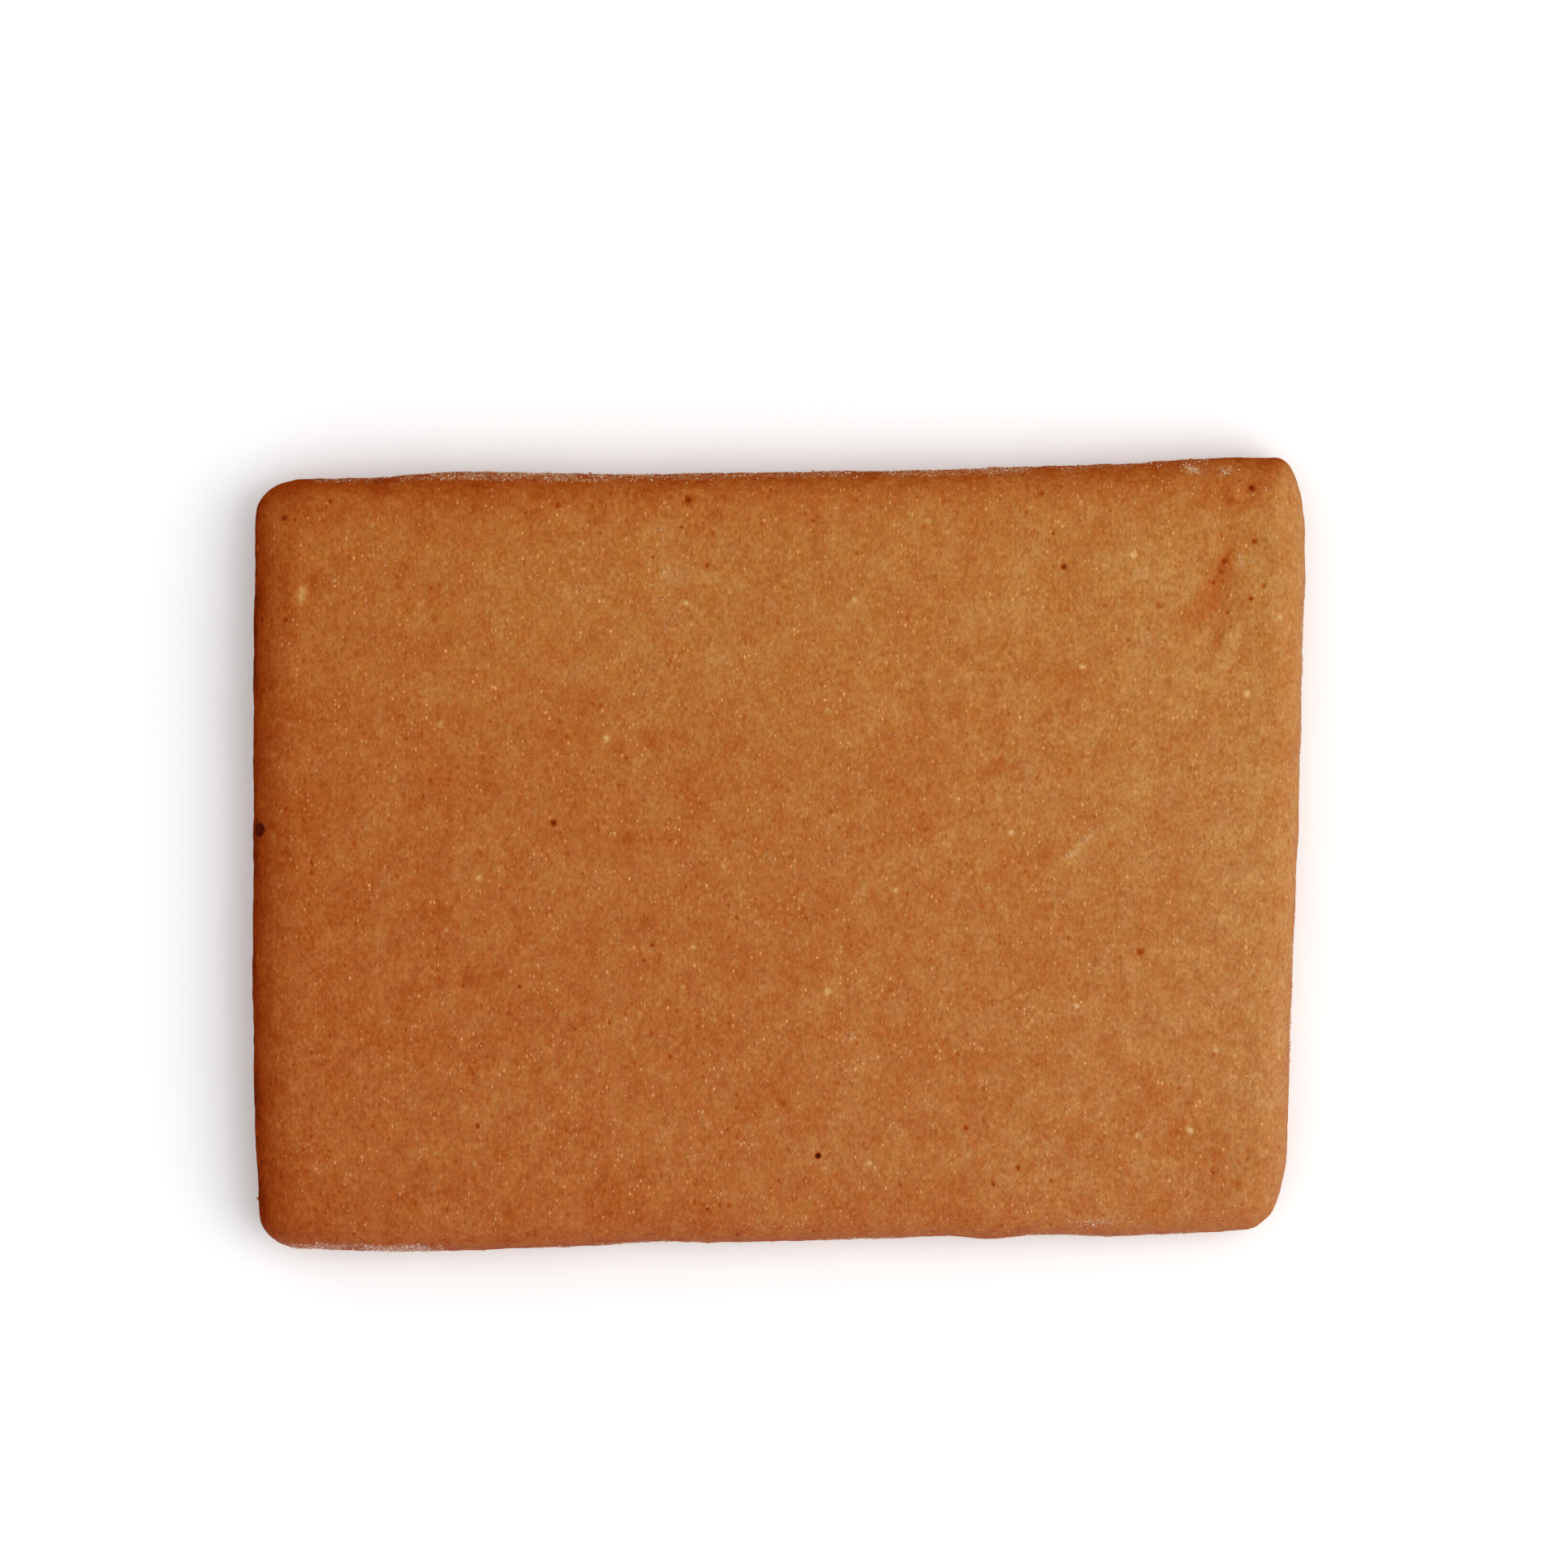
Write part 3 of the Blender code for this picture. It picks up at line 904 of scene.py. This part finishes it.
class Finish:
    """A material's node tree around one Principled shader."""

    def __init__(self, name, **constants):
        self.material = bpy.data.materials.new(name)
        self.material.use_nodes = True
        self.tree = self.material.node_tree
        self.shader = self.tree.nodes["Principled BSDF"]
        for socket, value in constants.items():
            self.shader.inputs[socket.replace("_", " ")].default_value = value

    def node(self, kind, settings=None, sockets=None, output=0):
        """Adds a node: its settings first, then the values or links of its sockets."""
        node = self.tree.nodes.new("ShaderNode" + kind)
        for name, value in (settings or {}).items():
            if name == "stops":
                self.set_stops(node.color_ramp, value)
            else:
                setattr(node, name, value)
        for name, value in (sockets or {}).items():
            self.feed(node.inputs[name], value)
        return Value(self, node.outputs[output])

    def feed(self, socket, value):
        """Links a varying value to the socket, or sets a plain one on it."""
        if isinstance(value, Value):
            self.tree.links.new(value.socket, socket)
        else:
            socket.default_value = value

    def set_stops(self, ramp, stops):
        """Gives a colour ramp its stops, each a place from 0 to 1 and a colour."""
        while len(ramp.elements) < len(stops):
            ramp.elements.new(1.0)
        for element, (place, color) in zip(ramp.elements, stops):
            element.position = place
            element.color = (*color, 1.0)

    def place_mm(self):
        """The point of the surface in the object's own frame, in millimetres."""
        place = self.node("TexCoord", output="Object")
        return self.node("VectorMath", {"operation": "SCALE"}, {0: place, "Scale": 1 / MM})

    def stretched(self, place, stretch):
        """The value times the stretch, each for x, y and z or red, green and blue."""
        return self.node("VectorMath", {"operation": "MULTIPLY"}, {0: place, 1: stretch})

    def scaled_sum(self, value, scale, start):
        """The start plus the value times the scale, each for x, y and z or red, green and blue."""
        return self.node("VectorMath", {"operation": "MULTIPLY_ADD"}, {0: value, 1: scale, 2: start})

    def shifted(self, place, shift):
        """The place moved by the shift, so that a noise there differs from one at the place."""
        return self.node("VectorMath", {"operation": "ADD"}, {0: place, 1: shift})

    def noise(self, place, wavelength, detail, roughness):
        """Cloudy noise about zero, with its largest clouds one wavelength across."""
        sockets = {"Vector": place, "Scale": 1 / wavelength, "Detail": detail, "Roughness": roughness}
        return self.node("TexNoise", None, sockets) - 0.5

    def flecks(self, place, spacing, share, radius, blur):
        """Round flecks of every strength, one to a cell, in about the given share of the cells."""
        settings = {"feature": "F1"}
        sockets = {"Vector": place, "Scale": 1 / spacing}
        apart = self.node("TexVoronoi", settings, sockets, "Distance")
        drawn = self.node("TexVoronoi", settings, sockets, "Color")
        draw = self.node("SeparateColor", None, {"Color": drawn}, "Red")
        size = self.node("SeparateColor", None, {"Color": drawn}, "Green")
        far = radius / spacing
        there = draw.step(share, 0.0)
        apart = apart + size * (FLECK_LESS * far)
        return apart.step(far * (1 + blur), far * (1 - blur)) * there

    def mix(self, share, first, second):
        """The first colour where share is 0 and the second where it is 1."""
        sockets = {0: share, 6: first, 7: second}
        return self.node("Mix", {"data_type": "RGBA"}, sockets, 2)

    def value(self, name):
        """The number that the mesh keeps for each point under this name."""
        return self.node("Attribute", {"attribute_name": name}, None, "Fac")


# Crust colours by tone, as light that the surface sends back.
CRUST_STOPS = (
    (0.00, (0.070, 0.008, 0.0025)),
    (0.10, (0.150, 0.016, 0.0018)),
    (0.20, (0.248, 0.034, 0.0034)),
    (0.32, (0.302, 0.058, 0.0073)),
    (0.42, (0.333, 0.082, 0.0144)),
    (0.50, (0.362, 0.100, 0.0205)),
    (0.58, (0.374, 0.120, 0.0265)),
    (0.68, (0.398, 0.149, 0.0381)),
    (0.80, (0.433, 0.192, 0.0567)),
    (0.90, (0.485, 0.234, 0.0800)),
    (1.00, (0.560, 0.310, 0.130)),
)
PALE_COLOR = (0.72, 0.37, 0.15, 1.0)
FLOUR_COLOR = (0.60, 0.41, 0.22, 1.0)
# Flour in painted cool shade, used where the tint of dust and shade lies.
SHADED_FLOUR_COLOR = (0.58, 0.46, 0.41, 1.0)
# A lilac-grey tint of fine dust and painted cool shade for the south and east shoulders.
DUST_AND_SHADE_TINT_COLOR = (0.50, 0.45, 0.44, 1.0)
DUST_AND_SHADE_TINT_STRENGTH = 0.085
# Patterns of the crust are drawn out along Y, a little or more.
UPRIGHT = (1.0, 0.8, 1.0)
STEEP = (1.0, 0.62, 1.0)
# How much the fine grain and the slow change of hue vary each of red, green and blue.
GRAIN_CONTRAST = (0.67, 0.94, 1.60)
HUE_CONTRAST = (0.10, 0.085, -0.50)
# How much the share of blue changes for each millimetre to the north.
BLUE_PER_MM = -0.003
# How much the clouds, the mottling and the larger flecks change the tone.
CLOUD_TONE = 0.17
MOTTLE_TONE = 0.66
FLECK_TONE = 0.22
# What scorched crust has of the clouds and the mottling.
SCORCHED_LEAST = 0.5
PALE_STRENGTH = 0.9
# Pale flecks crowd together. Between the crowds they have this share of their strength.
PALE_LEAST = 0.25
# How much noise breaks up the flour.
FLOUR_PATCHINESS = 1.5
# The crust's roughness, and how much the fine grain varies it.
ROUGHNESS = 0.66
ROUGHNESS_SPREAD = 0.4
# How high the grain, the mottling and the pale flecks stand, and how deep the dark ones lie.
GRAIN_HEIGHT = 0.11
MOTTLE_HEIGHT = 0.01
PALE_HEIGHT = 0.015
DARK_DEPTH = 0.03


def crust_finish():
    """Baked crust: tone from the mesh, mottling and upright streaks, flecks, and fine dust and flour,
    both with painted cool shade on the south and east shoulders.
    """
    crust = Finish("crust", Metallic=0.0, Specular_IOR_Level=0.0)
    place = crust.place_mm()
    upright = crust.stretched(place, UPRIGHT)
    steep = crust.stretched(place, STEEP)
    baked = crust.value("tone")
    clouds = crust.noise(place, wavelength=10.0, detail=1.0, roughness=1.0)
    mottle = crust.noise(upright, wavelength=2.4, detail=3.0, roughness=1.0)
    grain = crust.noise(steep, wavelength=0.35, detail=1.0, roughness=1.0)
    elsewhere = crust.shifted(upright, (31.0, 7.0, 3.0))
    hue = crust.noise(elsewhere, wavelength=2.4, detail=2.0, roughness=1.0)
    elsewhere = crust.shifted(place, (5.0, 40.0, 9.0))
    crowded = crust.noise(elsewhere, wavelength=3.0, detail=1.0, roughness=1.0).step(-0.15, 0.12)
    pale = crust.flecks(steep, spacing=0.36, share=0.62, radius=0.098, blur=0.6)
    pale = pale * (crowded * (1 - PALE_LEAST) + PALE_LEAST)
    scars = crust.flecks(place, spacing=2.6, share=0.3, radius=0.3, blur=0.8)
    dark = crust.flecks(upright, spacing=0.8, share=0.7, radius=0.19, blur=0.6)
    calmer = baked.step(0.1, 0.5) * (1 - SCORCHED_LEAST) + SCORCHED_LEAST
    uneven = (clouds * CLOUD_TONE + mottle * MOTTLE_TONE) * calmer
    tone = baked + uneven + scars * FLECK_TONE - dark * FLECK_TONE
    color = crust.node("ValToRGB", {"stops": CRUST_STOPS}, {"Fac": tone})
    color = crust.mix(pale * PALE_STRENGTH * baked.step(0.2, 0.6), color, PALE_COLOR)
    varied = crust.scaled_sum(grain, GRAIN_CONTRAST, (1.0, 1.0, 1.0))
    varied = crust.scaled_sum(hue, HUE_CONTRAST, varied)
    north = crust.node("SeparateXYZ", None, {0: place}, 1)
    varied = crust.scaled_sum(north, (0.0, 0.0, BLUE_PER_MM), varied)
    color = crust.stretched(color, varied)
    dusted = crust.value("flour")
    patchy = crust.noise(place, wavelength=0.45, detail=2.0, roughness=1.0)
    flour = (patchy * FLOUR_PATCHINESS + dusted).step(0.22, 1.0) * dusted.step(0.0, 0.2)
    bloom = crust.value("bloom")
    # The south and east shoulders take a faint lilac-grey tint: fine dust and painted cool shade.
    color = crust.mix(bloom * DUST_AND_SHADE_TINT_STRENGTH, color, DUST_AND_SHADE_TINT_COLOR)
    # There the flour takes a painted cool shade colour.
    flour_color = crust.mix(bloom.step(0.02, 0.3), FLOUR_COLOR, SHADED_FLOUR_COLOR)
    color = crust.mix(flour, color, flour_color)
    crust.feed(crust.shader.inputs["Base Color"], color)
    crust.feed(crust.shader.inputs["Roughness"], grain * ROUGHNESS_SPREAD + ROUGHNESS)
    height = grain * GRAIN_HEIGHT + mottle * MOTTLE_HEIGHT + pale * PALE_HEIGHT - dark * DARK_DEPTH
    bump = crust.node("Bump", None, {"Strength": 1.0, "Distance": MM, "Height": height})
    crust.feed(crust.shader.inputs["Normal"], bump)
    return crust.material


def grain_finish(name, dark, pale):
    """Grains, each with its own shade between a dark and a pale one."""
    grain = Finish(name, Metallic=0.0, Roughness=0.45, Specular_IOR_Level=0.1)
    shade = grain.noise(grain.place_mm(), wavelength=0.5, detail=1.0, roughness=0.5) * 2.0 + 0.5
    color = grain.node("ValToRGB", {"stops": ((0.0, dark), (1.0, pale))}, {"Fac": shade})
    grain.feed(grain.shader.inputs["Base Color"], color)
    return grain.material


# The surroundings

FLOOR_HALF = 1500.0
FLOOR_COLOR = (0.93, 0.93, 0.93, 1.0)
# The lamp's place and side in metres, its power in watts, and the strength of the white all round.
LAMP_PLACE = (0.44, -0.08, 0.56)
LAMP_SIDE = 0.6
LAMP_POWER = 2.8
WORLD_STRENGTH = 0.85
# Nothing nearer to the camera than this many metres is drawn.
CLIP_START = 0.01


def add_floor():
    """A pale square floor at the height of the slab's underside."""
    low, high = -FLOOR_HALF, FLOOR_HALF
    points = np.array([(low, low, 0), (high, low, 0), (high, high, 0), (low, high, 0)])
    mesh = make_mesh("floor", points, np.array([[0, 1, 2, 3]]), np.empty((0, 3), int))
    mesh.materials.append(Finish("floor", Base_Color=FLOOR_COLOR, Roughness=0.9).material)
    floor = bpy.data.objects.new("floor", mesh)
    bpy.context.scene.collection.objects.link(floor)


def add_light():
    """A soft square lamp to the right and above, which faces the slab."""
    lamp = bpy.data.lights.new("key", "AREA")
    lamp.size = LAMP_SIDE
    lamp.energy = LAMP_POWER
    light = bpy.data.objects.new("key", lamp)
    light.location = LAMP_PLACE
    light.rotation_euler = (-Vector(LAMP_PLACE)).to_track_quat("-Z", "Y").to_euler()
    bpy.context.scene.collection.objects.link(light)


def add_world():
    """Even white light from all round."""
    world = bpy.data.worlds.new("studio")
    world.use_nodes = True
    background = world.node_tree.nodes["Background"]
    background.inputs["Color"].default_value = (1.0, 1.0, 1.0, 1.0)
    background.inputs["Strength"].default_value = WORLD_STRENGTH
    bpy.context.scene.world = world


def add_camera():
    """Looks straight down, centred over the photograph's middle, at the photograph's scale."""
    data = bpy.data.cameras.new("camera")
    data.sensor_width = SENSOR
    data.lens = SENSOR * CAMERA_DISTANCE / (FRAME_PIXELS * PIXEL)
    data.clip_start = CLIP_START
    camera = bpy.data.objects.new("camera", data)
    right = (FRAME_PIXELS / 2 - (SLAB_LEFT + SLAB_RIGHT) / 2) * PIXEL
    up = ((SLAB_TOP + SLAB_BOTTOM) / 2 - FRAME_PIXELS / 2) * PIXEL
    camera.location = (right * MM, up * MM, (CAMERA_DISTANCE + EDGE_HEIGHT) * MM)
    bpy.context.scene.collection.objects.link(camera)
    bpy.context.scene.camera = camera


def main():
    """Builds the slab, the grains that lie on it, and the floor, the light and the camera."""
    add_camera()
    slab = build_slab(crust_finish())
    points, normals = points_of(slab), normals_of(slab)
    flour = np.empty(len(points), np.float32)
    slab.attributes["flour"].data.foreach_get("value", flour)
    rng = np.random.default_rng(GRAIN_SEED)
    # Sugar lies on what faces up, flour where the crust is floured, and crumbs low on the side.
    on_top = smooth_step(normals[:, 2], 0.8, 1.0)
    add_grains(
        "sugar_grains", slab, on_top, rng, finish="sugar", count=1400, least=0.045, spread=0.055,
        dark=(0.50, 0.22, 0.080), pale=(0.70, 0.41, 0.195),
    )
    floured = flour**1.5 * (normals[:, 2] > -0.5)
    add_grains(
        "flour_grains", slab, floured, rng, finish="flour", count=4000, least=0.03, spread=0.06,
        dark=(0.58, 0.40, 0.26), pale=(0.74, 0.58, 0.44),
    )
    low = (points[:, 2] < 2.4) * (normals[:, 2] > -0.9)
    add_grains(
        "crumbs", slab, low.astype(float), rng, finish="crumb", count=30, least=0.10, spread=0.15,
        dark=(0.30, 0.08, 0.015), pale=(0.46, 0.20, 0.07), fineness=2, roughness=0.18,
    )
    add_floor()
    add_light()
    add_world()
    bpy.context.scene.view_settings.view_transform = "Standard"


main()
